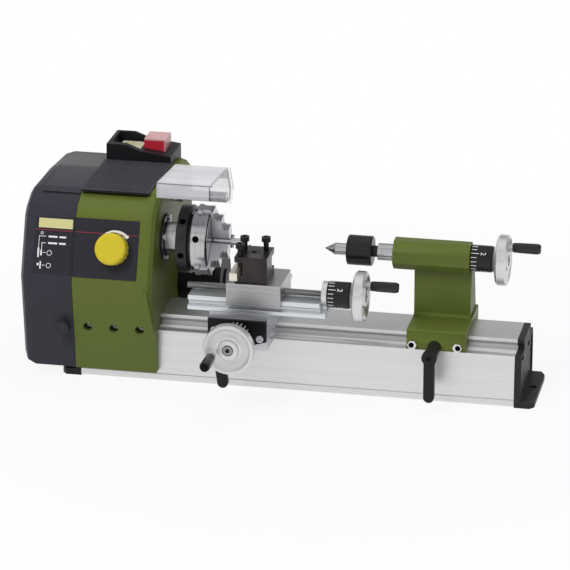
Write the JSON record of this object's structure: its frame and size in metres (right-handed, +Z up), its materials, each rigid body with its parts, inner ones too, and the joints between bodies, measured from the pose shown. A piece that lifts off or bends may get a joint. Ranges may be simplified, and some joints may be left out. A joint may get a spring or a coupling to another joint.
{
  "type": "precision lathe",
  "caption": "Small bench metalworking lathe with a belt-driven headstock, three-jaw chuck, cross and top slides with a toolpost, and a tailstock with a live centre.",
  "frame": {"origin": "on the bench surface, midway between the two bench bolt holes under the bed", "axes": "+X along the spindle towards the tailstock, +Y away from the operator, +Z up"},
  "size_m": [0.3885, 0.2125, 0.1573],
  "materials": {
    "anodised_extrusion": "natural anodised, satin",
    "foot_plastic": "moulded black",
    "black_screws": "black oxide",
    "green_paint": "olive green paint on a casting",
    "bright_screws": "zinc plated",
    "panel_film": "printed film, satin",
    "mat_rubber": "ribbed mat",
    "switch_plastic": "moulded black",
    "on_plastic": "green under a clear boot",
    "off_plastic": "red under a clear boot",
    "yellow_plastic": "moulded yellow",
    "cover_plastic": "fine moulded grain",
    "motor_steel": "dull",
    "pulley_metal": "turned",
    "belt_rubber": "plain",
    "flange_black": "black oxide",
    "turned_steel": "turned bright",
    "jaw_steel": "ground",
    "clear_plastic": "clear moulded plastic",
    "milled_steel": "milled",
    "plate_black": "black oxide",
    "lever_plastic": "moulded black",
    "screw_steel": "threaded, bright",
    "dial_black": "black anodised, white graduations",
    "wheel_metal": "turned bright",
    "handle_plastic": "moulded black"
  },
  "bodies": {
    "machine_bed": {"bed_extrusion": "anodised_extrusion", "left_end_foot": "foot_plastic", "right_end_foot": "foot_plastic", "end_foot_screws": "black_screws", "headstock_housing": "green_paint", "headstock_screws": "bright_screws", "control_panel_plate": "panel_film", "tool_tray_mat": "mat_rubber", "switch_housing": "switch_plastic", "speed_potentiometer": "motor_steel", "motor_body": "motor_steel", "drive_belt": "belt_rubber", "spindle_bearings": "motor_steel", "bearing_flange": "flange_black", "guard_shaft": "turned_steel"},
    "belt_cover": {"belt_cover": "cover_plastic"},
    "cover_knob": {"cover_knob": "cover_plastic"},
    "on_button": {"on_button": "on_plastic"},
    "off_button": {"off_button": "off_plastic"},
    "speed_knob": {"speed_knob": "yellow_plastic"},
    "motor_rotor": {"motor_pulley": "pulley_metal"},
    "spindle": {"spindle": "turned_steel", "spindle_pulley": "pulley_metal", "chuck_body": "turned_steel", "work_rod": "turned_steel"},
    "scroll_ring": {"scroll_ring": "flange_black"},
    "jaw_1": {"jaw_1": "jaw_steel"},
    "jaw_2": {"jaw_2": "jaw_steel"},
    "jaw_3": {"jaw_3": "jaw_steel"},
    "chuck_guard": {"chuck_guard": "clear_plastic"},
    "saddle": {"saddle": "milled_steel", "saddle_screws": "bright_screws", "cross_bearing_plate": "plate_black"},
    "saddle_lever": {"saddle_clamp_lever": "lever_plastic"},
    "cross_slide": {"cross_slide": "milled_steel", "slide_rail": "anodised_extrusion", "top_screw_bearing": "screw_steel"},
    "cross_wheel": {"cross_leadscrew": "screw_steel", "cross_dial": "dial_black", "cross_handwheel": "wheel_metal"},
    "cross_handle": {"cross_handle": "handle_plastic"},
    "top_slide": {"top_slide": "milled_steel", "toolpost_bolt": "screw_steel"},
    "top_wheel": {"top_leadscrew": "screw_steel", "top_dial": "dial_black", "top_handwheel": "wheel_metal"},
    "top_handle": {"top_handle": "handle_plastic"},
    "toolpost": {"toolpost": "plate_black", "tool_clamp_screws": "black_screws", "turning_tool": "screw_steel"},
    "tailstock": {"tailstock_body": "green_paint", "tailstock_nuts": "bright_screws"},
    "tailstock_lever": {"tailstock_clamp_lever": "lever_plastic"},
    "quill": {"quill": "turned_steel", "live_centre_body": "plate_black"},
    "centre_tip": {"centre_tip": "turned_steel"},
    "tail_wheel": {"tail_leadscrew": "screw_steel", "tail_dial": "dial_black", "tail_handwheel": "wheel_metal"},
    "tail_handle": {"tail_handle": "handle_plastic"}
  },
  "joints": [
    {"name": "belt_cover_slide", "type": "slide", "parent": "machine_bed", "child": "belt_cover", "axis": [-1, 0, 0], "range_m": [0, 0.06]},
    {"name": "cover_knob_turn", "type": "hinge", "parent": "belt_cover", "child": "cover_knob", "pos_m": [-0.1745, -0.045, 0.044], "axis": [0, 1, 0], "range_deg": [0, 720]},
    {"name": "on_button_press", "type": "slide", "parent": "machine_bed", "child": "on_button", "axis": [0, 0, -1], "range_m": [0, 0.002], "stiffness_N_per_m": 400},
    {"name": "off_button_press", "type": "slide", "parent": "machine_bed", "child": "off_button", "axis": [0, 0, -1], "range_m": [0, 0.002], "stiffness_N_per_m": 400},
    {"name": "speed_knob_turn", "type": "hinge", "parent": "machine_bed", "child": "speed_knob", "pos_m": [-0.1368, -0.038, 0.1051], "axis": [0, -0.9368, 0.3498], "range_deg": [-135, 135]},
    {"name": "spindle_spin", "type": "hinge", "parent": "machine_bed", "child": "spindle", "pos_m": [0, 0, 0.104], "axis": [1, 0, 0], "continuous": true},
    {"name": "motor_spin", "type": "hinge", "parent": "machine_bed", "child": "motor_rotor", "pos_m": [-0.15, 0.06, 0.052], "axis": [1, 0, 0], "continuous": true},
    {"name": "scroll_turn", "type": "hinge", "parent": "spindle", "child": "scroll_ring", "pos_m": [-0.089, 0, 0.104], "axis": [1, 0, 0], "range_deg": [-540, 0]},
    {"name": "jaw_1_travel", "type": "slide", "parent": "spindle", "child": "jaw_1", "axis": [0, -0.1908, 0.9816], "range_m": [0, 0.006]},
    {"name": "jaw_2_travel", "type": "slide", "parent": "spindle", "child": "jaw_2", "axis": [0, -0.7547, -0.6561], "range_m": [0, 0.006]},
    {"name": "jaw_3_travel", "type": "slide", "parent": "spindle", "child": "jaw_3", "axis": [0, 0.9455, -0.3256], "range_m": [0, 0.006]},
    {"name": "guard_swing", "type": "hinge", "parent": "machine_bed", "child": "chuck_guard", "pos_m": [-0.084, 0.03, 0.128], "axis": [1, 0, 0], "range_deg": [-70, 5]},
    {"name": "saddle_travel", "type": "slide", "parent": "machine_bed", "child": "saddle", "axis": [1, 0, 0], "range_m": [-0.011, 0.048]},
    {"name": "saddle_lever_turn", "type": "hinge", "parent": "saddle", "child": "saddle_lever", "pos_m": [-0.0518, -0.06, 0.0454], "axis": [0, 1, 0], "range_deg": [-35, 35]},
    {"name": "cross_wheel_turn", "type": "hinge", "parent": "saddle", "child": "cross_wheel", "pos_m": [-0.038, -0.06, 0.053], "axis": [0, 1, 0], "range_deg": [-8641, 4321]},
    {"name": "cross_travel", "type": "slide", "parent": "saddle", "child": "cross_slide", "axis": [0, 1, 0], "range_m": [-0.024, 0.012]},
    {"name": "cross_handle_spin", "type": "hinge", "parent": "cross_wheel", "child": "cross_handle", "pos_m": [-0.0506, -0.1, 0.04713], "axis": [0, 1, 0], "continuous": true},
    {"name": "top_wheel_turn", "type": "hinge", "parent": "cross_slide", "child": "top_wheel", "pos_m": [0.03, -0.038, 0.0817], "axis": [1, 0, 0], "range_deg": [-4321, 9361]},
    {"name": "top_travel", "type": "slide", "parent": "cross_slide", "child": "top_slide", "axis": [1, 0, 0], "range_m": [-0.012, 0.026]},
    {"name": "top_handle_spin", "type": "hinge", "parent": "top_wheel", "child": "top_handle", "pos_m": [0.06, -0.02457, 0.0853], "axis": [1, 0, 0], "continuous": true},
    {"name": "toolpost_turn", "type": "hinge", "parent": "top_slide", "child": "toolpost", "pos_m": [-0.02875, -0.0417, 0.1], "axis": [0, 0, 1], "range_deg": [-90, 20]},
    {"name": "tailstock_travel", "type": "slide", "parent": "machine_bed", "child": "tailstock", "axis": [1, 0, 0], "range_m": [-0.035, 0.036]},
    {"name": "tailstock_lever_turn", "type": "hinge", "parent": "tailstock", "child": "tailstock_lever", "pos_m": [0.105, -0.045, 0.0438], "axis": [0, 1, 0], "range_deg": [-40, 40]},
    {"name": "tail_wheel_turn", "type": "hinge", "parent": "tailstock", "child": "tail_wheel", "pos_m": [0.15, 0, 0.104], "axis": [1, 0, 0], "range_deg": [-7201, 3601]},
    {"name": "quill_travel", "type": "slide", "parent": "tailstock", "child": "quill", "axis": [1, 0, 0], "range_m": [-0.02, 0.01]},
    {"name": "tail_handle_spin", "type": "hinge", "parent": "tail_wheel", "child": "tail_handle", "pos_m": [0.16, 0.0127, 0.10965], "axis": [1, 0, 0], "continuous": true},
    {"name": "centre_spin", "type": "hinge", "parent": "quill", "child": "centre_tip", "pos_m": [0.03, 0, 0.104], "axis": [1, 0, 0], "continuous": true}
  ],
  "couplings": [
    {"joint": "motor_spin", "follows": "spindle_spin", "ratio": 3.0667},
    {"joint": "jaw_1_travel", "follows": "scroll_turn", "m_per_rad": -0.00063662},
    {"joint": "jaw_2_travel", "follows": "scroll_turn", "m_per_rad": -0.00063662},
    {"joint": "jaw_3_travel", "follows": "scroll_turn", "m_per_rad": -0.00063662},
    {"joint": "cross_wheel_turn", "follows": "cross_travel", "rad_per_m": 6283.2},
    {"joint": "top_wheel_turn", "follows": "top_travel", "rad_per_m": 6283.2},
    {"joint": "tail_wheel_turn", "follows": "quill_travel", "rad_per_m": 6283.2}
  ]
}
